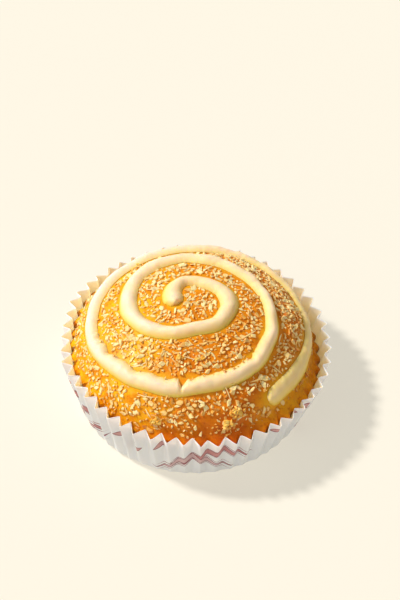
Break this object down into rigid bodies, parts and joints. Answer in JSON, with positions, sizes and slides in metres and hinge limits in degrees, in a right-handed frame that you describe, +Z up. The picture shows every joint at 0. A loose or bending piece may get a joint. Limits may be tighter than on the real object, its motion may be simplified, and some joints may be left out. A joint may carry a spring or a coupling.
{
  "type": "custard bun in a fluted paper case",
  "caption": "Round glazed bun with a piped custard spiral and coconut flakes, standing in its fluted paper case.",
  "frame": {"origin": "under the middle of the whole's box, on the surface that the paper case rests on", "axes": "+Z up, out of the bun's top; -Y to the front, where the custard bead is pinched; +X to the right seen from the front, where the case's rim is lowest"},
  "size_m": [0.0951, 0.0927, 0.0467],
  "materials": {
    "glazed_crust": "glossy egg-glazed bread crust with coconut flakes",
    "custard": "soft satin baked custard",
    "case_paper": "matte greaseproof paper"
  },
  "bodies": {
    "root": {"bun": "glazed_crust", "custard_spiral": "custard", "paper_case": "case_paper"}
  },
  "joints": []
}
